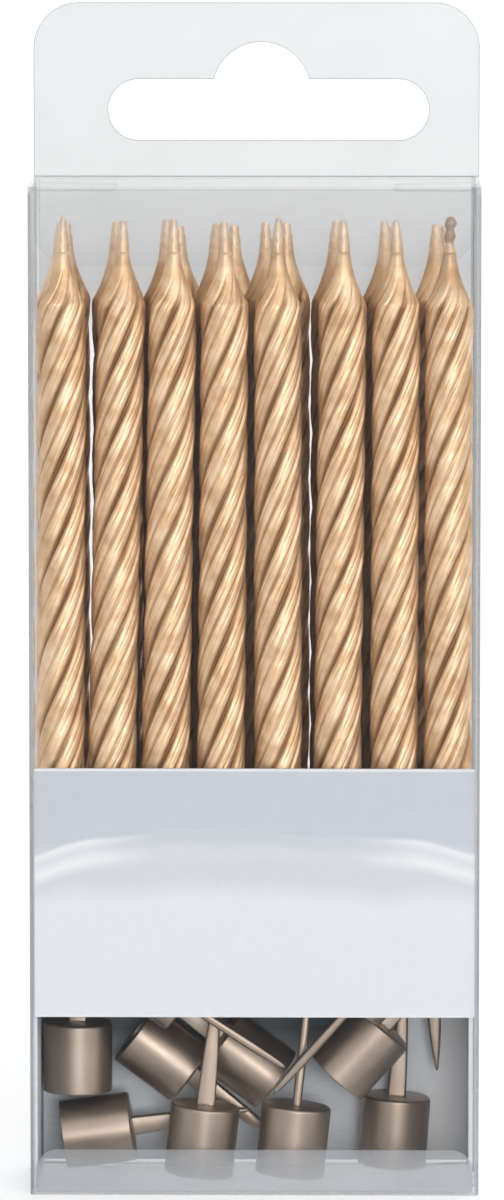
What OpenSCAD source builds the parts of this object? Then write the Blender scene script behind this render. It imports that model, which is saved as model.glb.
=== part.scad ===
// Hanging retail pack of spiral birthday candles with their push-in holders.
// Frame: X across the pack, Y from the front (-Y) to the back, Z up.
// Origin: centre of the pack's footprint, on the surface it stands on.

/* [Candles] */
// Diameter across the ridges of a candle
candle_d = 4.8; // [4:0.1:6]
// Length of the twisted wax body
body_l = 55; // [40:1:80]
// Height of the smooth neck above the twisted body
neck_l = 5; // [3:0.5:7]
// Length of wick that stands above the neck
wick_show = 3.5; // [2.5:0.5:8]
// Diameter of the wax-dipped wick
wick_d = 1.1; // [0.8:0.1:1.6]
// Height in which the ridges make one full turn
twist_lead = 29; // [20:1:45]
// Depth of the main grooves between the twisted lobes
groove_depth = 0.42; // [0.2:0.02:0.6]

/* [Holders] */
// Inside depth of a holder's cup
cup_depth = 6; // [5:0.25:6.5]
// Wall of a holder's cup
cup_wall = 0.95; // [0.8:0.05:1.1]
// Floor of a holder's cup
cup_floor = 1; // [0.8:0.1:1.2]
// Radial play of a candle in a cup
cup_play = 0.1; // [0.05:0.05:0.2]
// Length of the spike below the cup
spike_l = 12; // [10:0.5:13]
// Width of the spike's blade at the cup
spike_w = 1.9; // [1.6:0.1:2.2]
// Width of the spike's blade where its point starts
spike_end_w = 1.2; // [0.9:0.1:1.5]
// Length of the spike's point
spike_point = 4; // [3:0.25:6]
// Thickness of the spike's blade
spike_t = 0.9; // [0.7:0.1:1.1]

/* [Box] */
// Thickness of the clear plastic sheet
sheet = 0.3; // [0.2:0.05:0.4]
// Free width left along a row of candles
row_slack = 5.1; // [3:0.1:8]
// Free depth left across the rows of candles
depth_slack = 1.6; // [1:0.1:4]
// Height of the room for the holders, under the shelf
holder_room = 32.4; // [30:0.1:40]
// Free height between the wicks and the closed top
headroom = 2.7; // [1.5:0.1:6]
// Depth of the lid's flap that tucks in behind the front
tuck_depth = 7.5; // [5:0.5:10]
// Depth of the bottom's flap that is glued in behind the front
bottom_tuck_depth = 4.2; // [3:0.1:6]
// Reach of the small side flaps at top and bottom
dust_reach = 8.5; // [5:0.5:12]
// Width of the seam's glue flap
seam_w = 7; // [4:0.5:7.5]

/* [Hang tab] */
// Height of the hang tab above the box
tab_h = 17.3; // [16:0.1:30]
// Radius of the tab's top corners
tab_corner = 4.5; // [2:0.5:8]
// Length of the hanging slot
slot_l = 32; // [24:0.5:36]
// Height of the hanging slot
slot_h = 6.1; // [5:0.1:7]
// Height of the slot's lower edge above the box
slot_rise = 3.6; // [3:0.1:6]
// Radius of the round crown above the slot
crown_r = 4.9; // [4:0.1:6]
// Height of the crown's centre above the slot's lower edge
crown_rise = 4.9; // [4:0.1:6]
// Sideways offset of the punched slot
slot_shift = 1.2; // [0:0.1:1.5]
// Sideways offset of the crown from the slot's middle
crown_shift = -0.7; // [-1:0.1:1]

/* [Cards] */
// Thickness of the card pieces
card_t = 0.4; // [0.3:0.05:0.6]
// Height of the label band
label_h = 24.8; // [18:0.1:30]
// Height of the label's lower edge above the ground
label_rise = 17.8; // [10:0.1:20]

/* [Hidden] */
row_names = ["front", "middle", "back"];
rows = len(row_names);
// Share of the free width to the left of each candle, row by row, at its foot and at its tip
foot_shares = [[0.06, 0.07, 0.18, 0.33, 0.51, 0.70, 0.86, 0.97],
               [0.01, 0.16, 0.19, 0.22, 0.25, 0.63, 0.66, 0.69],
               [0.10, 0.22, 0.41, 0.54, 0.64, 0.71, 0.80, 0.89]];
tip_shares = [[0.12, 0.35, 0.39, 0.43, 0.50, 0.83, 0.91, 0.98],
              [0.03, 0.18, 0.21, 0.23, 0.26, 0.66, 0.69, 0.73],
              [0.12, 0.25, 0.45, 0.57, 0.65, 0.75, 0.83, 0.92]];
per_row = len(foot_shares[0]);

// Small clearances and overruns
fit = 0.1;      // between the folding flaps and what they slide past
wick_fit = 0.03; // between a wick and the wax around it
cut = 0.5;      // overrun of every cut

// Sizes of the box, outside and inside
inner_w = per_row * candle_d + row_slack + sheet;
inner_d = rows * candle_d + depth_slack + card_t;
box_w = inner_w + 2 * sheet;
box_d = inner_d + 2 * sheet;
floor_top = 2 * sheet;
shelf_top = floor_top + holder_room + card_t;
candle_l = body_l + neck_l + wick_show;
flap_top = shelf_top + candle_l + headroom;
box_h = flap_top + fit + sheet;
front_face = -inner_d / 2;
back_face = inner_d / 2;
left_face = -inner_w / 2;
right_face = inner_w / 2;

// Wax profile: lobes, each with two crests, a shallow dent and a deep groove
lobes = 4;
crest_r = candle_d / 2;
groove_r = crest_r - groove_depth;
crest_shares = [0.28, 0.72];
slice_turn = 24;
body_turn = 360 * body_l / twist_lead;
body_slices = ceil(body_turn / slice_turn);
shoulder_r = (crest_r + groove_r) / 2;
neck_steps = 6;
neck_top_r = wick_d / 2 + 0.2 * wick_d;
neck_curve = 1.45;

// Holder
bore_r = crest_r + cup_play;
cup_r = bore_r + cup_wall;
cup_h = cup_depth + cup_floor;
cup_edge = 0.25 * cup_wall;
spike_tip = 0.25 * spike_end_w;

// Room that the loose holders share: between the card's legs and its back, on the bottom flaps
room_left = left_face + card_t;
room_right = right_face - sheet - card_t;
room_front = front_face + card_t + fit + cup_r;
room_free = inner_d - 2 * card_t - 3 * fit - 2 * cup_r;
gap = 2 * fit;

// Half the height and half the width of a cup that is tilted in the plane of the front
function high(t) = abs(cos(t)) * cup_h / 2 + abs(sin(t)) * cup_r;
function wide(t) = abs(sin(t)) * cup_h / 2 + abs(cos(t)) * cup_r;

// Tilt of each holder, from spike down, and its share of the free depth, front to back
tilts = [180, 262, 307, 186, 127, 41, 222, 186, 184, 357, 304, 270];
depth_shares = [0.80, 0.80, 1.00, 0.30, 1.00, 0.00, 0.47, 0.30, 1.00, 1.00, 0.00, 1.00];
spins = [0, 0, 0, 0, 0, 90, 0, 90, 0, 0, 90, 0];
holders = len(tilts);
reach = cup_h / 2 + spike_l;

// The pile, each [across, up] at the cup's centre: 2, 4, 8 and 9 stand or lie on the bottom
on_floor = [for (t = tilts) floor_top + high(t)];
// 1 sits on 2 at the left leg, 3 lies beside it, and 5 lies on the spike of 3
place_1 = [room_left + gap + cup_r, on_floor[1] + high(tilts[1]) + gap + cup_h / 2];
place_2 = [room_left + cup_r / 2 + wide(tilts[1]), on_floor[1]];
place_3 = [place_1[0] + cup_r + gap + wide(tilts[2]), place_1[1]];
along_3 = -[sin(tilts[2]), cos(tilts[2])];
above_3 = [cos(tilts[2]), -sin(tilts[2])];
place_5 = place_3 + (cup_h + gap) * along_3 + (cup_r + spike_w / 2 + gap) * above_3;
// 7 sits on 9 with its spike at the right leg, and 8 leans beside its mouth
place_7 = [room_right - 2 * gap + reach * sin(tilts[6]),
           on_floor[8] + high(tilts[8]) + gap + high(tilts[6])];
place_9 = [place_7[0] + cup_r, on_floor[8]];
mouth_7 = place_7 + cup_h / 2 * [sin(tilts[6]), cos(tilts[6])]
    + cup_r * [cos(tilts[6]), -sin(tilts[6])];
place_8 = [mouth_7[0] - 2 * gap - spike_t / 2 - (mouth_7[1] - on_floor[7]) * tan(tilts[7]),
           on_floor[7]];
place_4 = [(place_1[0] + place_8[0] + cup_r) / 2, on_floor[3]];
// 6 lies on 7 and 11 lies across its spike's end
place_6 = place_7 + [cup_r / 2, cup_h / 2 + cup_r + 6 * gap];
tip_6 = place_6 - reach * [sin(tilts[5]), cos(tilts[5])];
place_11 = tip_6 + [spike_w / 2, 3 / 4 * cup_r] + reach * [sin(tilts[10]), cos(tilts[10])];
// 10 stands spike down at the right leg, and 12 lies on 5
place_10 = [room_right - gap - wide(tilts[9]), floor_top + holder_room - cup_r - high(tilts[9])];
place_12 = [place_10[0] - wide(tilts[9]) - gap - reach, place_5[1] + high(tilts[4]) + 2 * gap + cup_r];
places = [place_1, place_2, place_3, place_4, place_5, place_6,
          place_7, place_8, place_9, place_10, place_11, place_12];

gold = [0.85, 0.66, 0.44];
bronze = [0.55, 0.40, 0.27];
clear = [0.86, 0.90, 0.92, 0.3];
card_white = [0.90, 0.91, 0.93];

// One twisted candle without its wick, standing on its foot
module wax(phase) {
    lobe_turn = 360 / lobes;
    points = [for (k = [0:lobes - 1]) each [
        groove_r * [cos(k * lobe_turn), sin(k * lobe_turn)],
        for (share = crest_shares)
            crest_r * [cos((k + share) * lobe_turn), sin((k + share) * lobe_turn)]]];
    neck = [for (s = [0:neck_steps])
        [neck_top_r + (shoulder_r - neck_top_r) * pow(1 - s / neck_steps, neck_curve),
         neck_l * s / neck_steps]];
    color(gold) difference() {
        union() {
            linear_extrude(height = body_l, twist = -body_turn, slices = body_slices)
                rotate(phase) polygon(points);
            translate([0, 0, body_l]) rotate_extrude($fn = 48)
                polygon(concat([[0, 0]], neck, [[0, neck_l]]));
        }
        translate([0, 0, -cut])
            cylinder(d = wick_d + 2 * wick_fit, h = body_l + neck_l + 2 * cut, $fn = 32);
    }
}

module wick() {
    color(gold) cylinder(d = wick_d, h = candle_l, $fn = 32);
}

// Stands its children where candle i of a row stands, leaning as it leans
module at_candle(row, i) {
    foot = foot_shares[row][i - 1];
    tip = tip_shares[row][i - 1];
    start = left_face + (i - 0.5) * candle_d;
    lean = asin((tip - foot) * row_slack / candle_l);
    y = front_face + card_t + candle_d / 2
        + row * (candle_d + depth_slack / rows) + depth_slack / rows / 2;
    translate([start + foot * row_slack, y, shelf_top + crest_r * sin(abs(lean))])
        rotate([0, lean, 0]) children();
}

module candle(row, i) {
    at_candle(row, i) wax(phase = 137 * (i + row * per_row));
}

module wicks(row) {
    for (i = [1:per_row]) at_candle(row, i) wick();
}

// A push-in holder, its cup centred on the origin with the mouth up and the spike down
module holder() {
    color(bronze) translate([0, 0, -cup_h / 2]) {
        rotate_extrude($fn = 48) polygon([
            [0, 0], [cup_r - cup_edge, 0], [cup_r, cup_edge], [cup_r, cup_h],
            [bore_r, cup_h], [bore_r, cup_floor], [0, cup_floor]]);
        rotate([90, 0, 0]) linear_extrude(height = spike_t, center = true) polygon([
            [-spike_w / 2, 0], [-spike_end_w / 2, spike_point - spike_l],
            [-spike_tip / 2, -spike_l], [spike_tip / 2, -spike_l],
            [spike_end_w / 2, spike_point - spike_l], [spike_w / 2, 0]]);
    }
}

module placed_holder(i) {
    translate([places[i - 1][0], room_front + depth_shares[i - 1] * room_free, places[i - 1][1]])
        rotate([0, tilts[i - 1], 0]) rotate([0, 0, spins[i - 1]]) holder();
}

// A flat plate from one corner to the opposite one
module plate(low, high) {
    translate(low) cube(high - low);
}

module front_panel() {
    color(clear) plate([-box_w / 2, -box_d / 2, 0], [box_w / 2, front_face, box_h]);
}

module side_panel(side) {
    outer = side * box_w / 2;
    inner = side * inner_w / 2;
    color(clear) plate(
        [min(outer, inner), front_face, sheet],
        [max(outer, inner), back_face, flap_top - sheet]);
}

module seam_flap() {
    color(clear) plate(
        [right_face - sheet, back_face - seam_w, floor_top],
        [right_face, back_face, flap_top - sheet]);
}

// Outline of the hang tab, from the box's top up, with its rounded corners and its slot
module tab_outline(foot) {
    difference() {
        union() {
            translate([-box_w / 2, foot]) square([box_w, tab_h - tab_corner - foot]);
            translate([-box_w / 2 + tab_corner, 0]) square([box_w - 2 * tab_corner, tab_h]);
            for (side = [-1, 1]) translate([side * (box_w / 2 - tab_corner), tab_h - tab_corner])
                circle(r = tab_corner, $fn = 64);
        }
        translate([slot_shift, slot_rise]) {
            for (side = [-1, 1]) translate([side * (slot_l - slot_h) / 2, slot_h / 2])
                circle(d = slot_h, $fn = 64);
            translate([(slot_h - slot_l) / 2, 0]) square([slot_l - slot_h, slot_h]);
            translate([crown_shift, crown_rise]) circle(r = crown_r, $fn = 64);
        }
    }
}

module back_panel() {
    color(clear) translate([0, box_d / 2, box_h]) rotate([90, 0, 0])
        linear_extrude(height = sheet) tab_outline(foot = -box_h);
}

module hang_tab_ply() {
    color(clear) translate([0, back_face, box_h]) rotate([90, 0, 0])
        linear_extrude(height = sheet) tab_outline(foot = 0);
}

// Lid: hinged under the hang tab, nests behind the top of the front
module lid_panel() {
    color(clear) plate(
        [-box_w / 2, front_face + fit, box_h - sheet],
        [box_w / 2, back_face - sheet, box_h]);
}

// Outline of a tuck flap, hanging down from its crease, with rounded lower corners
module tuck_outline(depth) {
    corner = depth / 2;
    width = inner_w - 2 * sheet;
    translate([-width / 2, -corner]) square([width, corner]);
    translate([corner - width / 2, -depth]) square([width - 2 * corner, depth]);
    for (side = [-1, 1]) translate([side * (width / 2 - corner), -corner])
        circle(r = corner, $fn = 64);
}

module tuck_flap() {
    color(clear) translate([0, front_face + fit + sheet, box_h - sheet])
        rotate([90, 0, 0]) linear_extrude(height = sheet) tuck_outline(tuck_depth);
}

module bottom_tuck_flap() {
    color(clear) translate([0, front_face + sheet, sheet]) rotate([90, 0, 0])
        linear_extrude(height = sheet) mirror([0, 1]) tuck_outline(bottom_tuck_depth);
}

// Outline of a small side flap in the plane of the top: set back at the front by what the
// tuck flap swings back while it is drawn out, and tapered at the back
lid_l = inner_d - sheet - fit;
tuck_drop = tuck_depth + 2 * sheet;
dust_set = lid_l - sqrt(lid_l * lid_l - tuck_drop * tuck_drop) + sheet + 4 * fit;
module dust_outline(side) {
    taper = dust_reach / 2;
    polygon([
        [side * box_w / 2, front_face + dust_set],
        [side * box_w / 2, back_face - sheet - fit],
        [side * (box_w / 2 - dust_reach), back_face - sheet - taper],
        [side * (box_w / 2 - dust_reach), front_face + dust_set]]);
}

module dust_flap(side) {
    color(clear) translate([0, 0, flap_top - sheet])
        linear_extrude(height = sheet) dust_outline(side);
}

module bottom_panel() {
    color(clear) plate([-box_w / 2, front_face, 0], [box_w / 2, back_face, sheet]);
}

module bottom_side_flap(side) {
    color(clear) translate([0, 0, sheet]) linear_extrude(height = sheet) intersection() {
        dust_outline(side);
        square([inner_w, inner_d], center = true);
    }
}

module label_card() {
    color(card_white) plate(
        [left_face + fit, front_face, label_rise],
        [right_face - fit, front_face + card_t, label_rise + label_h]);
}

// Folded card: the shelf under the candles, two legs that stand on the bottom flaps, and a back
module shelf_card() {
    y_front = front_face + card_t + fit;
    y_back = back_face - fit;
    color(card_white) union() {
        plate([left_face, y_front, shelf_top - card_t], [right_face - sheet, y_back, shelf_top]);
        plate([left_face, y_front, floor_top], [left_face + card_t, y_back, shelf_top]);
        plate([right_face - sheet - card_t, y_front, floor_top],
              [right_face - sheet, y_back, shelf_top]);
        plate([left_face, y_back - card_t, floor_top], [right_face - sheet, y_back, shelf_top]);
    }
}

front_panel();
back_panel();
side_panel(-1);  // left_panel
side_panel(1);  // right_panel
seam_flap();
hang_tab_ply();
lid_panel();
tuck_flap();
dust_flap(-1);  // left_dust_flap
dust_flap(1);  // right_dust_flap
bottom_panel();
bottom_tuck_flap();
bottom_side_flap(-1);  // bottom_left_flap
bottom_side_flap(1);  // bottom_right_flap
label_card();
shelf_card();
for (row = [0:rows - 1]) {
    wicks(row);
    for (i = [1:per_row])
        candle(row, i);
}
for (i = [1:holders]) placed_holder(i);
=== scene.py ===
import math

import bpy
import numpy as np
from mathutils import Matrix, Vector
from mathutils.geometry import tessellate_polygon


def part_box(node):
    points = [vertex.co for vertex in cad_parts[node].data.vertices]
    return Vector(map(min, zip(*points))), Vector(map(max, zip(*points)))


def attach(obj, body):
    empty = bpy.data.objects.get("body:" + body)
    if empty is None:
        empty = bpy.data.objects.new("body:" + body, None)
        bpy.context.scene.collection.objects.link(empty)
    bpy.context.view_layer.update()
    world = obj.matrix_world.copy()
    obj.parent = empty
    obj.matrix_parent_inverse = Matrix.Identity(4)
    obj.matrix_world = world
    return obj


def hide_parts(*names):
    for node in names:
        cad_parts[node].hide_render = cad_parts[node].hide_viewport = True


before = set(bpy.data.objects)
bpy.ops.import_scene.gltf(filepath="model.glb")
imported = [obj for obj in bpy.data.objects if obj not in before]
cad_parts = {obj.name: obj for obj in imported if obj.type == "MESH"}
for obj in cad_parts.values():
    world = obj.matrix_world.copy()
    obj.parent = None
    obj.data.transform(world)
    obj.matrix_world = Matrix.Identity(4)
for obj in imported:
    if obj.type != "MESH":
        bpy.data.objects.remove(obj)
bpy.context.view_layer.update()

MM = 0.001

# Sizes of the candles in millimetres, the same as the part's, as are the holders' and the box's
CANDLE_D, BODY_L, NECK_L, WICK_D, WICK_SHOW = 4.8, 55.0, 5.0, 1.1, 3.5
LEAD, GROOVE = 29.0, 0.42
NECK_END = BODY_L + NECK_L
CANDLE_L = NECK_END + WICK_SHOW
CREST_R = CANDLE_D / 2
SHOULDER_R, NECK_TOP_R = CREST_R - GROOVE / 2, 0.6 * WICK_D
ROWS, PER_ROW = ["front", "middle", "back"], 8
# The share of the free width to the left of each candle, row by row, at its foot and at its tip
FOOT_SHARES = [[0.06, 0.07, 0.18, 0.33, 0.51, 0.70, 0.86, 0.97],
               [0.01, 0.16, 0.19, 0.22, 0.25, 0.63, 0.66, 0.69],
               [0.10, 0.22, 0.41, 0.54, 0.64, 0.71, 0.80, 0.89]]
TIP_SHARES = [[0.12, 0.35, 0.39, 0.43, 0.50, 0.83, 0.91, 0.98],
              [0.03, 0.18, 0.21, 0.23, 0.26, 0.66, 0.69, 0.73],
              [0.12, 0.25, 0.45, 0.57, 0.65, 0.75, 0.83, 0.92]]

# Holders, with the tilt of each from spike down and its turn about its own axis, in degrees
CUP_PLAY, CUP_WALL, CUP_DEPTH, CUP_FLOOR = 0.1, 0.95, 6.0, 1.0
BORE_R = CREST_R + CUP_PLAY
CUP_R, CUP_H = BORE_R + CUP_WALL, CUP_DEPTH + CUP_FLOOR
SPIKE_L, SPIKE_W, SPIKE_END, SPIKE_POINT, SPIKE_T = 12.0, 1.9, 1.2, 4.0, 0.9
TILTS = [180, 262, 307, 186, 127, 41, 222, 186, 184, 357, 304, 270]
SPINS = [0, 0, 0, 0, 0, 90, 0, 90, 0, 0, 90, 0]

# Box, hang tab and cards
SHEET, FIT, CARD = 0.3, 0.1, 0.4
ROW_SLACK, DEPTH_SLACK, HOLDER_ROOM, HEADROOM = 5.1, 1.6, 32.4, 2.7
INNER_W = PER_ROW * CANDLE_D + ROW_SLACK + SHEET
INNER_D = len(ROWS) * CANDLE_D + DEPTH_SLACK + CARD
BOX_W, BOX_D = INNER_W + 2 * SHEET, INNER_D + 2 * SHEET
FLOOR_TOP = 2 * SHEET
SHELF_TOP = FLOOR_TOP + HOLDER_ROOM + CARD
FLAP_TOP = SHELF_TOP + CANDLE_L + HEADROOM
BOX_H = FLAP_TOP + FIT + SHEET
TUCK_DEPTH, BOTTOM_TUCK_DEPTH, FLAP_REACH = 7.5, 4.2, 8.5
FLAP_TAPER = FLAP_REACH / 2
TAB_H, TAB_CORNER, SLOT_L, SLOT_H, SLOT_RISE, SLOT_SHIFT = 17.3, 4.5, 32.0, 6.1, 3.6, 1.2
CROWN_R, CROWN_RISE, CROWN_SHIFT = 4.9, 4.9, -0.7
LABEL_LOW, LABEL_H = 17.8, 24.8
LABEL_HIGH = LABEL_LOW + LABEL_H
# Film that only this script shapes: its folds, the step between sheets that touch, and its upper edges
FOLD_R, APART = 0.5, 0.02
SIDE_TOP, FOLD_TOP = BOX_H - 0.7, BOX_H - APART

# The photograph's view, in degrees and millimetres
TARGET, AZIMUTH, ELEVATION, DISTANCE, FOCAL_PIXELS = (-0.348, 0, 58.41), 0.752, 6.605, 796.4, 8019.3
PICTURE_H, SENSOR_H = 1200, 36
# The suns' names, azimuths, elevations, strengths and angles
SUNS = [("key", 28, 22, 1.25, 80), ("front", 7, 3, 0.95, 16), ("back", 165, 38, 0.9, 50)]
SKY, SKY_STRENGTH, FLOOR_GLOW, FLOOR_R = (0.95, 0.97, 1.0, 1), 0.42, 0.43, 6.0
WHITE = (1, 1, 1, 1)


def toward(azimuth, elevation):
    """The direction from the part towards a camera or sun, azimuth 0 being straight in front."""
    a, e = math.radians(azimuth), math.radians(elevation)
    return Vector((math.sin(a) * math.cos(e), -math.cos(a) * math.cos(e), math.sin(e)))


# Camera
def make_camera():
    cam = bpy.data.objects.new("camera", bpy.data.cameras.new("camera"))
    bpy.context.scene.collection.objects.link(cam)
    back = toward(AZIMUTH, ELEVATION)
    cam.location = Vector(TARGET) * MM + back * (DISTANCE * MM)
    cam.rotation_euler = (-back).to_track_quat("-Z", "Y").to_euler()
    cam.data.sensor_fit = "VERTICAL"
    cam.data.sensor_height = SENSOR_H
    cam.data.lens = SENSOR_H * FOCAL_PIXELS / PICTURE_H
    cam.data.clip_start, cam.data.clip_end = 0.01, 100
    bpy.context.scene.camera = cam


# Materials
class Nodes:
    """A few short calls for building one material."""

    def __init__(self, name, **constants):
        self.mat = bpy.data.materials.new(name)
        self.mat.use_nodes = True
        self.nodes, self.links = self.mat.node_tree.nodes, self.mat.node_tree.links
        self.bsdf = self.nodes["Principled BSDF"]
        for socket, value in constants.items():
            self.bsdf.inputs[socket.replace("_", " ")].default_value = value
        self.coord = self.nodes.new("ShaderNodeTexCoord").outputs["Object"]

    def link(self, out, socket):
        self.links.new(out, self.bsdf.inputs[socket])

    def axis(self, letter):
        """The place along X, Y or Z, in metres."""
        separate = self.nodes.new("ShaderNodeSeparateXYZ")
        self.links.new(self.coord, separate.inputs[0])
        return separate.outputs[letter]

    def noise(self, scale, detail, rough=0.5, stretch=(1, 1, 1)):
        m = self.nodes.new("ShaderNodeMapping")
        m.inputs["Scale"].default_value = stretch
        self.links.new(self.coord, m.inputs["Vector"])
        n = self.nodes.new("ShaderNodeTexNoise")
        n.inputs["Scale"].default_value = scale
        n.inputs["Detail"].default_value = detail
        n.inputs["Roughness"].default_value = rough
        self.links.new(m.outputs[0], n.inputs["Vector"])
        return n.outputs["Fac"]

    def ramp(self, value, stops):
        r = self.nodes.new("ShaderNodeValToRGB")
        while len(r.color_ramp.elements) < len(stops):
            r.color_ramp.elements.new(0.5)
        for el, (at, colour) in zip(r.color_ramp.elements, stops):
            el.position, el.color = at, (*colour, 1)
        self.links.new(value, r.inputs[0])
        return r.outputs[0]

    def map(self, value, a, b, to_a, to_b):
        m = self.nodes.new("ShaderNodeMapRange")
        for k, v in zip(("From Min", "From Max", "To Min", "To Max"), (a, b, to_a, to_b)):
            m.inputs[k].default_value = v
        self.links.new(value, m.inputs["Value"])
        return m.outputs[0]

    def math(self, op, a, b):
        m = self.nodes.new("ShaderNodeMath")
        m.operation = op
        for i, v in enumerate((a, b)):
            if isinstance(v, (int, float)):
                m.inputs[i].default_value = v
            else:
                self.links.new(v, m.inputs[i])
        return m.outputs[0]

    def mix(self, factor, a, b, blend="MIX"):
        m = self.nodes.new("ShaderNodeMix")
        m.data_type, m.blend_type = "RGBA", blend
        for v, i in ((factor, 0), (a, 6), (b, 7)):
            if isinstance(v, tuple):
                m.inputs[i].default_value = (*v, 1)
            elif isinstance(v, (int, float)):
                m.inputs[i].default_value = v
            else:
                self.links.new(v, m.inputs[i])
        return m.outputs[2]

    def attribute(self, name):
        a = self.nodes.new("ShaderNodeAttribute")
        a.attribute_name = name
        return a.outputs["Fac"]

    def bump(self, height, strength, distance, before=None):
        b = self.nodes.new("ShaderNodeBump")
        b.inputs["Strength"].default_value = strength
        b.inputs["Distance"].default_value = distance
        self.links.new(height, b.inputs["Height"])
        if before is not None:
            self.links.new(before, b.inputs["Normal"])
        return b.outputs[0]


def gold_wax():
    m = Nodes("gold_wax", Metallic=0.66, Specular_IOR_Level=0.5)
    golds = [(0.32, (0.60, 0.38, 0.205)), (0.50, (0.75, 0.52, 0.315)), (0.68, (0.86, 0.64, 0.43))]
    colour = m.ramp(m.noise(420, 3, 0.55), golds)
    # the wax turns brown by a value stored per point: painted shade deep in its grooves and on the
    # middle row's inner necks, and darkening below the knotted wick
    colour = m.mix(m.attribute("groove"), colour, (0.26, 0.125, 0.045))
    specks = m.ramp(m.noise(1500, 2, 0.5), [(0.0, (0, 0, 0)), (0.70, (0, 0, 0)), (0.76, (1, 1, 1))])
    m.link(m.mix(m.math("MULTIPLY", specks, 0.25), colour, (0.30, 0.17, 0.08)), "Base Color")
    m.link(m.map(m.noise(900, 3), 0.3, 0.7, 0.38, 0.52), "Roughness")
    fine = m.bump(m.noise(2600, 4, 0.6), 0.20, 0.03 * MM)
    m.link(m.bump(m.noise(620, 3, 0.5), 0.60, 0.11 * MM, fine), "Normal")
    return m.mat


def dipped_wick():
    m = Nodes("dipped_wick", Metallic=0.66, Specular_IOR_Level=0.5)
    wax = m.ramp(m.noise(420, 3, 0.55), [(0.30, (0.65, 0.42, 0.235)), (0.70, (0.83, 0.61, 0.405))])
    thread = m.ramp(m.noise(900, 3), [(0.3, (0.82, 0.60, 0.42)), (0.7, (0.95, 0.78, 0.62))])
    colour = m.mix(m.attribute("bare"), wax, thread)
    m.link(m.mix(m.attribute("char"), colour, (0.30, 0.165, 0.085)), "Base Color")
    m.link(m.map(m.noise(1500, 2), 0.3, 0.7, 0.38, 0.52), "Roughness")
    m.link(m.bump(m.noise(2400, 3, 0.6), 0.3, 0.05 * MM), "Normal")
    return m.mat


def bronze_plastic():
    m = Nodes("bronze_plastic", Metallic=0.90, Specular_IOR_Level=0.5)
    colour = m.ramp(m.noise(200, 2, 0.5), [(0.3, (0.315, 0.25, 0.20)), (0.7, (0.395, 0.32, 0.265))])
    m.link(colour, "Base Color")
    m.link(m.map(m.noise(400, 2), 0.3, 0.7, 0.37, 0.43), "Roughness")
    return m.mat


def film(name, alpha, low, high, rough, fade=None, graze=None):
    """Clear film. fade lists alpha at heights in millimetres; graze is its alpha seen edge on."""
    m = Nodes(name, Alpha=alpha, IOR=1.57, Specular_IOR_Level=0.6)
    if fade:
        share = m.map(m.axis("Z"), 0, BOX_H * MM, 0, 1)
        m.link(m.ramp(share, [(at / BOX_H, (a, a, a)) for at, a in fade]), "Alpha")
    if graze:
        facing = m.nodes.new("ShaderNodeLayerWeight").outputs["Facing"]
        m.link(m.map(facing, 0.75, 0.97, alpha, graze), "Alpha")
    m.link(m.ramp(m.noise(60, 2), [(0.3, low), (0.7, high)]), "Base Color")
    m.link(m.map(m.noise(250, 3), 0.3, 0.7, rough, rough + 0.10), "Roughness")
    m.link(m.bump(m.noise(90, 2), 0.10, 0.05 * MM), "Normal")
    return m.mat


# The heights in millimetres between which the label changes from pale to blue-grey, partly its print
# and partly a painted reflection that whitens the lower part
PRINT_AND_REFLECTION_LOW, PRINT_AND_REFLECTION_HIGH = 29.0, 39.0


def label_card():
    m = Nodes("label_card", Coat_Weight=0.3, Coat_Roughness=0.2, Coat_IOR=1.45)
    aside = m.math("ABSOLUTE", m.axis("X"), 0)
    # the blue-grey upper part, and pale streaks of painted reflection, which droop towards the sides
    wave = m.map(m.noise(70, 2, 0.4, (1, 1, 0.4)), 0.3, 0.7, -0.9 * MM, 0.9 * MM)
    height = m.math("ADD", m.axis("Z"), wave)
    tone = m.map(height, PRINT_AND_REFLECTION_LOW * MM, PRINT_AND_REFLECTION_HIGH * MM, 0.0, 1.0)
    colour = m.ramp(tone, [(0.0, (0.84, 0.86, 0.89)), (0.22, (0.71, 0.74, 0.78)),
                           (0.52, (0.69, 0.72, 0.76)), (0.62, (0.61, 0.645, 0.70)),
                           (1.0, (0.59, 0.625, 0.685))])
    droop = m.map(aside, 13.0 * MM, 21.5 * MM, 0.0, 1.6 * MM)
    low = m.map(m.math("ADD", height, droop), PRINT_AND_REFLECTION_LOW * MM, PRINT_AND_REFLECTION_HIGH * MM, 0.0, 1.0)
    painted_streaks = m.ramp(low, [(0.36, (0, 0, 0)), (0.47, (1, 1, 1)), (0.58, (0.3, 0.3, 0.3)),
                           (0.66, (0.9, 0.9, 0.9)), (0.70, (0, 0, 0))])
    beside = m.map(aside, 10.0 * MM, 16.5 * MM, 0.15, 1.0)
    colour = m.mix(m.math("MULTIPLY", painted_streaks, beside), colour, (0.93, 0.94, 0.95))
    # the pale cut edges along the top and the bottom
    middle = (LABEL_LOW + LABEL_HIGH) / 2 * MM
    from_middle = m.math("ABSOLUTE", m.math("SUBTRACT", m.axis("Z"), middle), 0)
    half = (LABEL_HIGH - LABEL_LOW) / 2 * MM
    rim = m.map(from_middle, half - 0.32 * MM, half - 0.22 * MM, 0.0, 0.8)
    colour = m.mix(rim, colour, (0.90, 0.92, 0.94))
    grain = m.ramp(m.noise(1800, 3), [(0.3, (0.97, 0.97, 0.97)), (0.7, (1, 1, 1))])
    m.link(m.mix(1.0, colour, grain, "MULTIPLY"), "Base Color")
    m.link(m.map(m.noise(300, 3), 0.3, 0.7, 0.30, 0.42), "Roughness")
    m.link(m.bump(m.noise(2600, 3), 0.15, 0.03 * MM), "Normal")
    return m.mat


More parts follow.
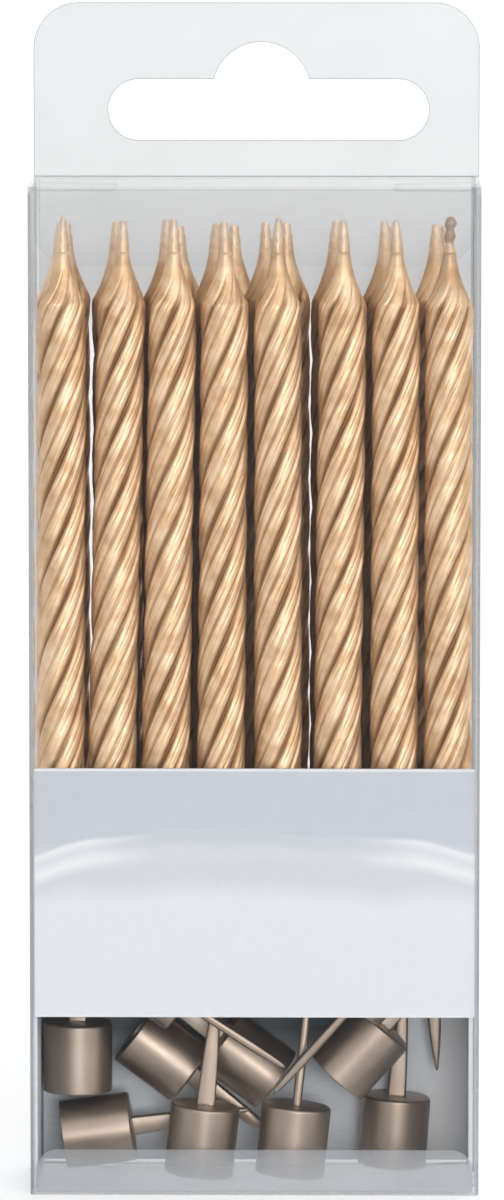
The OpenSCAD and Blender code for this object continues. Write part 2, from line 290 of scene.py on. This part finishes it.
def plain_card():
    m = Nodes("plain_card", Specular_IOR_Level=0.3)
    tones = [(0.3, (0.79, 0.83, 0.875)), (0.7, (0.875, 0.915, 0.96))]
    board = m.ramp(m.noise(900, 4, 0.6, (1, 1, 3)), tones)
    # the back wall's inner face: dark towards the upper left, a painted shadow of the label and the
    # shelf, and pale at the right end, painted light as if it came in from the right
    high = m.map(m.axis("Z"), 8.5 * MM, 14.0 * MM, 0.0, 1.0)
    left = m.map(m.axis("X"), 7.0 * MM, 14.5 * MM, 1.0, 0.0)
    face = m.math("SUBTRACT", m.axis("Y"), (INNER_D / 2 - CARD) * MM)
    inside = m.math("LESS_THAN", m.math("ABSOLUTE", face, 0), CARD / 4 * MM)
    painted_wall_shade = m.math("MULTIPLY", m.math("MULTIPLY", high, left), inside)
    # painted light: the right end of the back wall is lightened
    right = m.math("MULTIPLY", m.map(m.axis("X"), 13.5 * MM, 18.5 * MM, 0.0, 1.0), inside)
    board = m.mix(right, board, (0.98, 0.99, 1.0))
    m.link(m.mix(m.math("MULTIPLY", painted_wall_shade, 0.88), board, (0.035, 0.05, 0.06)), "Base Color")
    m.link(m.map(m.noise(500, 3), 0.3, 0.7, 0.62, 0.78), "Roughness")
    m.link(m.bump(m.noise(3000, 4, 0.6), 0.4, 0.03 * MM), "Normal")
    return m.mat


GOLD, WICK, BRONZE = gold_wax(), dipped_wick(), bronze_plastic()
FILM = film("clear_film", 0.03, (0.16, 0.18, 0.20), (0.22, 0.24, 0.26), 0.05)
# the side film's warm tint, seen most as it turns edge on, is a painted reflection of the gold candles
SIDE = film("side_film", 0.03, (0.28, 0.24, 0.21), (0.34, 0.30, 0.26), 0.06, graze=0.80)
# the back film's haze is densest behind the candles' necks, where it is painted shade inside the box
BACK = film("back_film", 0.28, (0.36, 0.38, 0.40), (0.42, 0.44, 0.46), 0.08,
            fade=[(83.5, 0.06), (88.5, 0.33), (91.5, 0.36), (98.5, 0.19)])
LID = film("lid_film", 0.15, (0.76, 0.77, 0.77), (0.84, 0.85, 0.85), 0.10, graze=0.62)
TUCK = film("tuck_film", 0.20, (0.34, 0.34, 0.335), (0.42, 0.42, 0.41), 0.12,
            fade=[(91.5, 0.05), (98.5, 0.36)])
MILKY = film("milky_film", 0.38, (0.62, 0.65, 0.69), (0.70, 0.73, 0.77), 0.12,
             fade=[(0.8, 0.50), (4.6, 0.22)])
TAB = film("tab_film", 0.19, (0.29, 0.33, 0.33), (0.34, 0.38, 0.38), 0.12)
FOLD = film("film_fold", 0.24, (0.46, 0.49, 0.50), (0.58, 0.61, 0.62), 0.12)
EDGE = film("film_edge", 0.45, (0.36, 0.39, 0.42), (0.46, 0.49, 0.52), 0.15)
LABEL, CARD_MAT = label_card(), plain_card()


# Mesh building
def add_piece(name, verts, faces, materials, replaces=(), body="pack", indices=None,
              smooth=True):
    """One piece that rides a body, from points in millimetres. Its four-sided faces can be smooth."""
    mesh = bpy.data.meshes.new(name)
    mesh.from_pydata((np.asarray(verts, float).reshape(-1, 3) * MM).tolist(), [], faces)
    for m in materials:
        mesh.materials.append(m)
    if indices is not None:
        mesh.polygons.foreach_set("material_index", np.asarray(indices, np.int32))
    mesh.polygons.foreach_set("use_smooth", [smooth and len(face) == 4 for face in faces])
    mesh.validate()
    piece = bpy.data.objects.new(name, mesh)
    bpy.context.scene.collection.objects.link(piece)
    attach(piece, body)
    if replaces:
        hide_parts(*replaces)
    return piece


def set_attribute(piece, name, values):
    a = piece.data.attributes.new(name, "FLOAT", "POINT")
    a.data.foreach_set("value", np.asarray(values, np.float32))


def loft(rings, first=0):
    """Faces of a closed tube through rings of points, with a flat cap at both ends."""
    count, around = rings.shape[:2]
    faces = []
    for i in range(count - 1):
        for j in range(around):
            k = (j + 1) % around
            a, b = first + i * around, first + (i + 1) * around
            faces.append((a + j, a + k, b + k, b + j))
    faces.append(tuple(first + j for j in reversed(range(around))))
    faces.append(tuple(first + (count - 1) * around + j for j in range(around)))
    return faces


def ring_angles(around):
    return np.radians(np.arange(around) * 360 / around)


def arc_points(x, y, r, start, end, n):
    """Points of an arc between two angles in degrees."""
    return [(x + r * math.cos(a), y + r * math.sin(a)) for a in np.radians(np.linspace(start, end, n))]


def put(points, matrix):
    """The points, moved by a matrix."""
    m = np.array(matrix)
    return points @ m[:3, :3].T + m[:3, 3]


def wobble(x, y, z, seed):
    """Smooth irregularity, mostly between -1 and 1, from a few waves."""
    r = np.random.default_rng(seed)
    total = np.zeros(np.broadcast(x, y, z).shape)
    for k in range(6):
        f = r.normal(size=3) * (0.5 + 0.25 * k)
        total += np.sin(f[0] * x + f[1] * y + f[2] * z + r.uniform(0, 6.28)) / 6
    return total * 1.6


# Candles
def lobe_profile(n):
    """Radius at n angles of one turn: four lobes, each ridged finely between two deep grooves."""
    crest, deep = CREST_R, CREST_R - GROOVE
    corners = [(0.0, deep), (0.03, deep + 0.03), (0.08, crest - 0.21), (0.13, crest - 0.12),
               (0.20, crest - 0.06), (0.235, crest - 0.15), (0.27, crest - 0.03), (0.40, crest),
               (0.45, crest - 0.10), (0.49, crest - 0.27), (0.53, crest - 0.12), (0.58, crest),
               (0.70, crest - 0.04), (0.735, crest - 0.15), (0.77, crest - 0.08),
               (0.87, crest - 0.15), (0.925, crest - 0.24), (0.97, deep + 0.03)]
    angles, radii = [], []
    for lobe in range(-1, 5):
        for u, r in corners:
            angles.append((lobe + u) * 90)
            radii.append(r)
    a = np.radians(angles)
    px, py = np.array(radii) * np.cos(a), np.array(radii) * np.sin(a)
    t = ring_angles(n)
    r = np.empty(n)
    for i, angle in enumerate(t):
        k = np.searchsorted(a, angle, side="right") - 1
        ex, ey = px[k + 1] - px[k], py[k + 1] - py[k]
        r[i] = (px[k] * ey - py[k] * ex) / (math.cos(angle) * ey - math.sin(angle) * ex)
    return t, r


def candle_matrix(row, i):
    """Stands a candle on the shelf, leaning along its row."""
    foot, tip = FOOT_SHARES[row][i - 1], TIP_SHARES[row][i - 1]
    lean = math.asin((tip - foot) * ROW_SLACK / CANDLE_L)
    place = Vector((
        -INNER_W / 2 + (i - 0.5) * CANDLE_D + foot * ROW_SLACK,
        -INNER_D / 2 + CARD + CREST_R + row * (CANDLE_D + DEPTH_SLACK / 3) + DEPTH_SLACK / 6,
        SHELF_TOP + CREST_R * math.sin(abs(lean))))
    return Matrix.Translation(place) @ Matrix.Rotation(lean, 4, "Y")


# How the wax draws in at its foot, over which height it does so below its shoulder, and in its neck
FOOT_EDGE, FOOT_INSET, SHOULDER_EDGE, NECK_CURVE = 0.12, 0.035, 0.4, 1.6
NECK_SHARES = [0.04, 0.10, 0.18, 0.28, 0.4, 0.54, 0.68, 0.82, 0.92, 1.0]


def body_rings(angles, profile, steps, seed, flat):
    """Heights along the twisted body, each with the radius at every angle."""
    rings = []
    for z in [0.0, FOOT_EDGE, *np.linspace(0.35, BODY_L - 0.5, steps), BODY_L - 0.15, BODY_L]:
        scale = 1.0
        if z <= FOOT_EDGE:
            scale = 1.0 - FOOT_INSET * (1 - z / FOOT_EDGE)
        if z > BODY_L - SHOULDER_EDGE:
            scale = 1.0 - (0.05 if flat else 0.02) * (z - BODY_L + SHOULDER_EDGE) / SHOULDER_EDGE
        uneven = 1 + 0.25 * np.sin(0.35 * z + seed + 2.1 * np.floor(angles / (math.pi / 2)))
        rings.append((z, (CREST_R - (CREST_R - profile) * uneven) * scale))
    return rings


def neck_rings(profile, flat):
    """Heights along the neck, which draws in to the wick while the lobes fade out."""
    mean = profile.mean()
    rings = []
    for s in NECK_SHARES:
        base = NECK_TOP_R + (SHOULDER_R - NECK_TOP_R) * (1 - s) ** NECK_CURVE
        flute = (profile - mean) * (1 - s) ** (2.5 if flat else 1.2) * base / mean * 0.9
        rings.append((BODY_L + NECK_L * s, base + flute))
    return rings


def groove_depth(z, radius, profile):
    """How deep in the grooves each point of a ring lies, from 0 to 1: painted shade that darkens the
    wax there, and on the neck in the lobes' fading hollows.
    """
    if z < BODY_L - 0.2:
        return np.clip((CREST_R - 0.11 - radius) / 0.25, 0, 1)
    fade = max(0.0, 0.7 - 0.35 * (z - BODY_L))
    return fade * np.clip((profile.mean() - profile) / 0.2, 0, 1)


def make_candle(row, i):
    # the front row is nearest, so it has the most points
    around, steps = (144, 118) if row == 0 else (64, 84)
    angles, profile = lobe_profile(around)
    number = PER_ROW * row + i
    seed = 100 + number
    flat = number % 3 != 1
    phase = math.radians(137 * number)
    points, depth = [], []
    for z, radius in body_rings(angles, profile, steps, seed, flat) + neck_rings(profile, flat):
        turned = angles + phase + 2 * math.pi * z / LEAD
        x, y, up = radius * np.cos(turned), radius * np.sin(turned), np.full(around, z)
        dent = 1 + 0.012 * wobble(x, y, up * 0.9, seed)
        dent = np.minimum(dent, CREST_R / np.maximum(radius, 1e-6))
        points.append(np.stack([x * dent, y * dent, up], 1))
        depth.append(groove_depth(z, radius, profile))
    points, depth = np.array(points), np.array(depth)
    # painted shade on the inner necks of the middle row, which stand in the front row's shade; the neck
    # below the knotted wick is also darker towards the wick
    above = points[:, :, 2] - BODY_L
    if row == 1 and 1 < i < PER_ROW:
        depth = np.maximum(depth, 0.55 * np.clip(1 - above / NECK_L, 0, 1))
    if is_knotted(row, i):
        depth = np.maximum(depth, 0.38 * np.clip(above / 1.5, 0, 1))
    piece = add_piece(
        f"candle_{ROWS[row]}_{i}", put(points.reshape(-1, 3), candle_matrix(row, i)), loft(points),
        [GOLD], replaces=[f"wax_{ROWS[row]}_{i}"])
    set_attribute(piece, "groove", depth.reshape(-1))


# Wick tips, in millimetres above the neck: where the bare thread starts, and over which height
BARE_FROM, BARE_OVER = 0.4, 2.6
# Where the char starts and how strong it gets, at plain tips and at the knotted one, and its height
TIP_CHAR, KNOT_CHAR, CHAR_OVER = (2.4, 0.25), (0.6, 0.85), 0.6
# The knotted wick's radius, its foot's height, and how much wider the foot is
KNOT_R, KNOT_FOOT, KNOT_FLARE = 0.34, 0.9, 0.33
# The height, bulge and width of each lump of the knot
KNOTS = [(1.5, 0.24, 0.45), (2.8, 0.28, 0.40)]


def is_knotted(row, i):
    """The last candle in front has a knotted wick."""
    return row == 0 and i == PER_ROW


def wick_radius(above, share, row, knotted):
    """A wick's mean radius at a height above the neck, and at that share of what it shows."""
    if knotted:
        radius = KNOT_R + KNOT_FLARE * np.clip((KNOT_FOOT - above) / KNOT_FOOT, 0, 1)
        for at, bulge, width in KNOTS:
            radius += bulge * math.exp(-((above - at) / width) ** 2)
        return radius
    if above < -NECK_L:
        return WICK_D / 2
    return NECK_TOP_R * (1.01 - (0.50 if row == 0 else 0.62) * share - 0.26 * share ** 6)


def make_wicks(row):
    verts, faces, char, bare = [], [], [], []
    around = 20
    t = ring_angles(around)
    for i in range(1, PER_ROW + 1):
        r = np.random.default_rng(500 + PER_ROW * row + i)
        knotted = is_knotted(row, i)
        lift = 0.0 if knotted else r.uniform(-0.5, 0.0) - 0.6 * row
        bend = r.uniform(-0.22, 0.22, 2)
        top = CANDLE_L + lift
        char_from, most = KNOT_CHAR if knotted else TIP_CHAR
        rings = []
        for z in [0.0, *np.linspace(NECK_END - 1.0, top - 0.12, 22), top]:
            above = z - NECK_END
            s = np.clip(above / WICK_SHOW, 0, 1)
            radius = wick_radius(above, s, row, knotted) * (0.5 if z >= top else 1)
            strands = 1 + 0.07 * np.clip(s * 4, 0, 1) * np.cos(3 * (t + z * 1.9))
            x = radius * strands * np.cos(t) + bend[0] * s * s
            y = radius * strands * np.sin(t) + bend[1] * s * s
            rings.append(np.stack([x, y, np.full(around, z)], 1))
            char += [most * np.clip((above - char_from) / CHAR_OVER, 0, 1)] * around
            bare += [np.clip((above - BARE_FROM) / BARE_OVER, 0, 1)] * around
        faces += loft(np.array(rings), sum(len(v) for v in verts))
        verts.append(put(np.array(rings).reshape(-1, 3), candle_matrix(row, i)))
    piece = add_piece(
        f"dipped_wicks_{ROWS[row]}", np.concatenate(verts), faces, [WICK],
        replaces=[f"wicks_{ROWS[row]}"])
    set_attribute(piece, "char", char)
    set_attribute(piece, "bare", bare)


# Holders: the cup's innermost ring, and the roundings of its foot, lip, mouth and floor
HUB_R, FOOT_ROUND, LIP_ROUND, MOUTH_ROUND, FLOOR_ROUND = 0.4, 0.30, 0.14, 0.16, 0.3
# The distance below the cup, the width and the thickness of each section of the spike
SPIKE_SECTIONS = [(-0.3, SPIKE_W, SPIKE_T), (0.15, SPIKE_W, SPIKE_T), (2.5, 1.76, SPIKE_T),
                  (5, 1.56, SPIKE_T), (SPIKE_L - SPIKE_POINT, SPIKE_END, SPIKE_T),
                  (10.2, 0.75, 0.74), (11.6, 0.36, 0.46), (SPIKE_L, 0.18, 0.24)]


def cup_rings():
    """The cup, standing on its foot about its middle, from the foot's centre round to the floor's."""
    low, high = -CUP_H / 2, CUP_H / 2
    floor = low + CUP_FLOOR
    profile = [(HUB_R, low)]
    profile += arc_points(CUP_R - FOOT_ROUND, low + FOOT_ROUND, FOOT_ROUND, -90, 0, 5)
    profile += [(CUP_R, -1.0), (CUP_R, 1.5)]
    profile += arc_points(CUP_R - LIP_ROUND, high - LIP_ROUND, LIP_ROUND, 0, 90, 4)
    profile += arc_points(BORE_R + MOUTH_ROUND, high - MOUTH_ROUND, MOUTH_ROUND, 90, 180, 4)
    profile += [(BORE_R, 0.0), (BORE_R, floor + FLOOR_ROUND),
                (BORE_R - 0.3 * FLOOR_ROUND, floor + 0.3 * FLOOR_ROUND),
                (BORE_R - FLOOR_ROUND, floor), (HUB_R, floor)]
    angles = ring_angles(72)
    return np.array([[(r * math.cos(a), r * math.sin(a), z) for a in angles] for r, z in profile])


def spike_rings():
    """The spike: an eight-sided blade that tapers to its point."""
    rings = []
    for below, width, thick in reversed(SPIKE_SECTIONS):
        c = min(0.22, width / 4, thick / 4)
        x, y = width / 2, thick / 2
        corners = [(x - c, -y), (x, c - y), (x, y - c), (x - c, y),
                   (c - x, y), (-x, y - c), (-x, c - y), (c - x, -y)]
        rings.append([(px, py, -CUP_H / 2 - below) for px, py in corners])
    return np.array(rings)


def holder_shape():
    cup, spike = cup_rings(), spike_rings()
    verts = cup.reshape(-1, 3)
    return np.concatenate([verts, spike.reshape(-1, 3)]), loft(cup) + loft(spike, len(verts))


def make_holders():
    verts, faces = holder_shape()
    for i, (tilt, spin) in enumerate(zip(TILTS, SPINS), 1):
        node = f"holder_{i}"
        lean = Matrix.Rotation(math.radians(tilt), 4, "Y")
        turned = put(verts, lean @ Matrix.Rotation(math.radians(spin), 4, "Z"))
        low, high = (np.array(v / MM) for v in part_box(node))
        place = (low + high) / 2 - (turned.min(0) + turned.max(0)) / 2
        piece = add_piece(f"cup_and_spike_{i}", turned + place, faces, [BRONZE],
                          replaces=[node])
        edge = piece.modifiers.new("smooth", "WEIGHTED_NORMAL")
        edge.keep_sharp = False


# Film
def strip(name, path, levels, replaces, folds=(), wave=None, thick=SHEET, main=FILM):
    """A folded strip of film: path is a list of (x, y, nx, ny, low, high) with outward normals."""
    n, m = len(path), len(levels)
    outer, inner = np.empty((n, m, 3)), np.empty((n, m, 3))
    for i, (x, y, nx, ny, low, high) in enumerate(path):
        for j, s in enumerate(levels):
            z = low + (high - low) * s
            w = wave(x, y, z) if wave else 0.0
            outer[i, j] = (x - nx * w, y - ny * w, z)
            inner[i, j] = (x - nx * (thick + w), y - ny * (thick + w), z)
    verts = np.concatenate([outer.reshape(-1, 3), inner.reshape(-1, 3)])
    faces, index = [], []
    off = n * m

    def rim(a, b, flip):
        face = (a, b, off + b, off + a)
        faces.append(face[::-1] if flip else face)
        index.append(2)

    for i in range(n - 1):
        kind = 1 if i in folds else 0
        for j in range(m - 1):
            a, b, c, d = i * m + j, (i + 1) * m + j, (i + 1) * m + j + 1, i * m + j + 1
            faces += [(a, b, c, d), (off + d, off + c, off + b, off + a)]
            index += [kind, kind]
        for j, flip in ((0, True), (m - 1, False)):
            rim(i * m + j, (i + 1) * m + j, flip)
    for i, flip in ((0, False), (n - 1, True)):
        for j in range(m - 1):
            rim(i * m + j, i * m + j + 1, flip)
    return add_piece(name, verts, faces, [main, FOLD, EDGE], replaces, indices=index,
                     smooth=False)


def arc(cx, cy, r, a0, a1, low, high, n=7):
    """The stretch of a strip's path that goes round a fold."""
    return [(cx + r * math.cos(a), cy + r * math.sin(a), math.cos(a), math.sin(a), low, high)
            for a in np.radians(np.linspace(a0, a1, n))]


# Between which heights the film's hollows lie: above and below the label in front, and at the sides
UPPER_HOLLOW, LOWER_HOLLOW = (LABEL_HIGH + 0.4, BOX_H - 4), (1, LABEL_LOW - 0.8)
SIDE_HOLLOW = (0, BOX_H - 1)


def hollow(z, low, high):
    """A hollow between two heights, from 0 at its ends to 1 in its middle."""
    return math.sin(math.pi * min(1, max(0, (z - low) / (high - low)))) ** 2


def front_wave(x, y, z):
    """The front panel's slight hollows above and below the label, where nothing lies behind it."""
    side = max(0.0, 1 - (abs(x) / 21.0) ** 4)
    upper = 0.16 * hollow(z, *UPPER_HOLLOW) * (0.6 + 0.4 * math.sin(x * 0.23 + z * 0.11))
    return side * (upper + 0.12 * hollow(z, *LOWER_HOLLOW))


def side_wave(x, y, z):
    """The side panels' slight hollow."""
    return 0.05 * max(0.0, 1 - (abs(y) / 8.0) ** 2) * hollow(z, *SIDE_HOLLOW)


def make_sleeve():
    r, half_w, half_d = FOLD_R, BOX_W / 2, BOX_D / 2
    levels = np.linspace(0, 1, 61)
    few = np.linspace(0, 1, 25)
    # front: both its folds, and the sheet between them
    path = arc(-half_w + r, -half_d + r, r, 180, 270, 0, BOX_H)
    xs = np.linspace(-half_w + r, half_w - r, 45)[1:-1]
    path += [(x, -half_d, 0, -1, 0, BOX_H) for x in xs]
    path += arc(half_w - r, -half_d + r, r, 270, 360, 0, BOX_H)
    k = len(path)
    strip("front_film", path, levels, ["front_panel"], folds=[*range(6), *range(k - 7, k - 1)],
          wave=front_wave)
    # sides
    ys = np.linspace(half_d - r, -half_d + r, 13)
    strip("left_film", [(-half_w, y, -1, 0, SHEET, SIDE_TOP) for y in ys], few, ["left_panel"],
          wave=side_wave, main=SIDE)
    ys = np.linspace(-half_d + r, half_d - SHEET, 13)
    strip("right_film", [(half_w, y, 1, 0, SHEET, SIDE_TOP) for y in ys], few, ["right_panel"],
          wave=side_wave, main=SIDE)
    # the seam flap and the back's two folds
    ys = np.linspace(1.2, half_d - r, 7)
    strip("seam_film", [(half_w - SHEET - APART, y, 1, 0, FLOOR_TOP, SIDE_TOP) for y in ys], few,
          ["seam_flap"], thick=SHEET - APART)
    folds = (("back_right_fold", half_w - SHEET - r, 0), ("back_left_fold", -half_w + r, 90))
    for name, x, turn in folds:
        path = arc(x, half_d - r, r, turn, turn + 90, FLOOR_TOP, FOLD_TOP)
        strip(name, path, few, (), folds=range(6))


def rounded(points, radii, n):
    """Corner points of an outline, each rounded by its radius."""
    out = []
    for k, (p, r) in enumerate(zip(points, radii)):
        if r <= 0:
            out.append(tuple(p))
            continue
        p0, p1, p2 = (Vector(points[(k + d) % len(points)]) for d in (-1, 0, 1))
        a, b = (p0 - p1).normalized(), (p2 - p1).normalized()
        half = math.acos(max(-1, min(1, a.dot(b)))) / 2
        centre = p1 + (a + b).normalized() * (r / math.sin(half))
        s, e = p1 + a * (r / math.tan(half)) - centre, p1 + b * (r / math.tan(half)) - centre
        a0 = math.atan2(s.y, s.x)
        turn = (math.atan2(e.y, e.x) - a0 + math.pi) % (2 * math.pi) - math.pi
        for q in range(n + 1):
            ang = a0 + turn * q / n
            out.append((centre.x + r * math.cos(ang), centre.y + r * math.sin(ang)))
    return out


# Corner radii of the lid and the label, of the bottom panel and of the small flaps
SMALL_CORNER, BOTTOM_CORNER, FLAP_CORNERS = 0.25, 0.3, [0, 1.2, 0.6, 0]


def turned_outline(loop, anticlockwise):
    """An outline's corners in the order that is asked for, with the normal out of the sheet at each."""
    n = len(loop)
    v = [Vector(p) for p in loop]
    area = sum(v[k].x * v[(k + 1) % n].y - v[(k + 1) % n].x * v[k].y for k in range(n))
    if (area > 0) != anticlockwise:
        v.reverse()
    normals = []
    for k in range(n):
        before, after = (v[k] - v[k - 1]).normalized(), (v[(k + 1) % n] - v[k]).normalized()
        d = (before + after).normalized()
        normals.append(Vector((d.y, -d.x)) / max(0.5, d.dot(after)))
    return v, normals


def plate(name, loops, place, thick, materials, replaces=(), body="pack", rim=0.05, pane=False):
    """A flat sheet cut to outline loops, with softened rims. place turns (u, v, depth) into x, y, z.

    A pane has one see-through face for both of its sides, so that more of them can lie in a row."""
    verts, faces, index, starts, flat = [], [], [], [], []
    layers = ((0.0, rim), (rim, 0.0), (thick - rim, 0.0), (thick, rim))
    for number, loop in enumerate(loops):
        points, normals = turned_outline(loop, anticlockwise=number == 0)
        starts.append([])
        for depth, inset in layers:
            starts[-1].append(len(verts))
            verts += [place(p.x - q.x * inset, p.y - q.y * inset, depth)
                      for p, q in zip(points, normals)]
        for a, b in zip(starts[-1], starts[-1][1:]):
            for k in range(len(points)):
                j = (k + 1) % len(points)
                faces.append((a + k, a + j, b + j, b + k))
                index.append(1)
        flat.append([Vector((p.x, p.y, 0)) for p in points])
    corners = [p for loop in flat for p in loop]
    for layer, flip in ((0, True),) if pane else ((0, True), (3, False)):
        ids = [start[layer] + k for start, loop in zip(starts, flat) for k in range(len(loop))]
        for tri in tessellate_polygon(flat):
            a, b, c = (corners[q] for q in tri)
            ccw = (b - a).cross(c - a).z > 0
            face = [ids[q] for q in tri]
            faces.append(tuple(face if ccw != flip else face[::-1]))
            index.append(0)
    return add_piece(name, verts, faces, materials, replaces, body, index, smooth=False)


def tab_loops():
    """The hang tab's outline and its slot, from the box's top up."""
    w, top, r = BOX_W / 2, TAB_H, TAB_CORNER
    outer = rounded([(-w, 0), (w, 0), (w, top), (-w, top)], [0, 0, r, r], 20)
    bend, centre = SLOT_H / 2, (SLOT_L - SLOT_H) / 2
    start = math.degrees(math.asin((SLOT_H - CROWN_RISE) / CROWN_R))
    hole = arc_points(centre, bend, bend, -90, 90, 17)
    hole += arc_points(CROWN_SHIFT, CROWN_RISE, CROWN_R, start, 180 - start, 25)
    hole += arc_points(-centre, bend, bend, 90, 270, 17)
    return [outer, [(x + SLOT_SHIFT, y + SLOT_RISE) for x, y in hole]]


def make_tab():
    half_d = BOX_D / 2
    w = BOX_W / 2 - FOLD_R
    panel = [(-w, -BOX_H), (w, -BOX_H), (w, 0), (-w, 0)]
    plate("back_film", [panel], lambda u, v, d: (u, half_d - d, BOX_H + v), SHEET,
          [BACK, EDGE], ["back_panel"])
    plate("tab_rear_film", tab_loops(), lambda u, v, d: (u, half_d - d, BOX_H + v), SHEET - APART,
          [TAB, EDGE], pane=True)
    plate("hang_tab_film", tab_loops(), lambda u, v, d: (u, half_d - SHEET - d, BOX_H + v), SHEET,
          [TAB, EDGE], ["hang_tab_ply"], pane=True)


def tuck_outline(depth):
    w = INNER_W / 2 - SHEET
    return [rounded([(-w, 0), (-w, -depth), (w, -depth), (w, 0)], [0, depth / 2, depth / 2, 0], 16)]


def make_flaps():
    half_w, half_d = BOX_W / 2, BOX_D / 2
    front = -INNER_D / 2
    # lid and its tuck flap
    back = half_d - 2 * SHEET
    lid = [(-half_w, front + FIT), (half_w, front + FIT), (half_w, back), (-half_w, back)]
    plate("lid_film", [rounded(lid, [SMALL_CORNER, SMALL_CORNER, 0, 0], 4)],
          lambda u, v, d: (u, v, BOX_H - d), SHEET,
          [LID, FOLD], ["lid_panel"], "lid", pane=True)
    plate("tuck_film", tuck_outline(TUCK_DEPTH),
          lambda u, v, d: (u, front + FIT + SHEET - d, BOX_H - SHEET + v), SHEET,
          [TUCK, TUCK], ["tuck_flap"], "tuck", pane=True)
    # dust flaps and bottom flaps
    for side, name in ((-1, "left"), (1, "right")):
        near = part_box(f"{name}_dust_flap")[0].y / MM
        end = side * (half_w - FLAP_REACH)
        flaps = (("dust", f"{name}_dust_flap", FLAP_TOP, half_w),
                 ("bottom", f"bottom_{name}_flap", FLOOR_TOP, INNER_W / 2))
        for kind, node, z, outer in flaps:
            outline = [(side * outer, near), (end, near), (end, back - FLAP_TAPER),
                       (side * outer, back - FIT)]
            plate(f"{name}_{kind}_film", [rounded(outline, FLAP_CORNERS, 8)],
                  lambda u, v, d, z=z: (u, v, z - d), SHEET,
                  [FILM, FOLD], [node], pane=True)
    bottom = [(-half_w, front), (half_w, front), (half_w, half_d - SHEET), (-half_w, half_d - SHEET)]
    plate("bottom_film", [rounded(bottom, [BOTTOM_CORNER] * 4, 4)],
          lambda u, v, d: (u, v, SHEET - APART - d), SHEET - APART,
          [FILM, EDGE], ["bottom_panel"])
    flap = [(x, -y) for x, y in tuck_outline(BOTTOM_TUCK_DEPTH)[0]]
    plate("bottom_tuck_film", [flap], lambda u, v, d: (u, front + SHEET - d, SHEET + v), SHEET - APART,
          [MILKY, MILKY], ["bottom_tuck_flap"])


# Cards
def make_cards():
    w, front = INNER_W / 2 - FIT, -INNER_D / 2
    outline = [(-w, LABEL_LOW), (w, LABEL_LOW), (w, LABEL_HIGH), (-w, LABEL_HIGH)]
    plate("label_band", [rounded(outline, [SMALL_CORNER] * 4, 5)],
          lambda u, v, d: (u, front + CARD - d, v), CARD - APART,
          [LABEL, CARD_MAT], ["label_card"], rim=0.04)
    # the shelf card's own solid is right as it is
    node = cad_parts["shelf_card"]
    node.data.materials.clear()
    node.data.materials.append(CARD_MAT)


# Light and floor
def make_light():
    """White wherever it is seen, also through film or in a reflection, and a dimmer sky as light."""
    world = bpy.data.worlds.new("world")
    bpy.context.scene.world = world
    world.use_nodes = True
    tree = world.node_tree
    tree.nodes.clear()

    def background(colour, strength):
        b = tree.nodes.new("ShaderNodeBackground")
        b.inputs[0].default_value, b.inputs[1].default_value = colour, strength
        return b.outputs[0]

    def greater(a, b):
        m = tree.nodes.new("ShaderNodeMath")
        m.operation = "MAXIMUM"
        tree.links.new(a, m.inputs[0])
        tree.links.new(b, m.inputs[1])
        return m.outputs[0]

    ray = tree.nodes.new("ShaderNodeLightPath").outputs
    seen = greater(ray["Is Camera Ray"], ray["Is Transmission Ray"])
    mix = tree.nodes.new("ShaderNodeMixShader")
    tree.links.new(greater(seen, ray["Is Glossy Ray"]), mix.inputs[0])
    tree.links.new(background(SKY, SKY_STRENGTH), mix.inputs[1])
    tree.links.new(background(WHITE, 1.0), mix.inputs[2])
    tree.links.new(mix.outputs[0], tree.nodes.new("ShaderNodeOutputWorld").inputs[0])
    for name, azimuth, elevation, power, angle in SUNS:
        lamp = bpy.data.lights.new(name, "SUN")
        lamp.energy, lamp.angle = power, math.radians(angle)
        sun = bpy.data.objects.new(name, lamp)
        bpy.context.scene.collection.objects.link(sun)
        sun.rotation_euler = toward(azimuth, elevation).to_track_quat("Z", "Y").to_euler()


def make_floor():
    """A round floor, which glows wherever it is seen, so that it is about as white as the sky."""
    n = 96
    turns = [2 * math.pi * k / n for k in range(n)]
    ring = [(FLOOR_R * math.cos(a), FLOOR_R * math.sin(a), 0) for a in turns]
    mesh = bpy.data.meshes.new("floor")
    mesh.from_pydata(ring, [], [tuple(range(n))])
    floor = bpy.data.objects.new("floor", mesh)
    bpy.context.scene.collection.objects.link(floor)
    m = Nodes("floor", Roughness=0.9, Specular_IOR_Level=0.1)
    m.link(m.ramp(m.noise(3, 2), [(0.3, (0.80, 0.80, 0.80)), (0.7, (0.82, 0.82, 0.82))]), "Base Color")
    path = m.nodes.new("ShaderNodeLightPath")
    seen = m.math("MAXIMUM", path.outputs["Is Camera Ray"], path.outputs["Is Transmission Ray"])
    seen = m.math("MAXIMUM", seen, path.outputs["Is Glossy Ray"])
    m.bsdf.inputs["Emission Color"].default_value = WHITE
    m.link(m.math("MULTIPLY", seen, FLOOR_GLOW), "Emission Strength")
    mesh.materials.append(m.mat)


make_camera()
make_light()
make_floor()
for row in range(len(ROWS)):
    for i in range(1, PER_ROW + 1):
        make_candle(row, i)
    make_wicks(row)
make_holders()
make_sleeve()
make_tab()
make_flaps()
make_cards()
bpy.context.scene.view_settings.view_transform = "Standard"
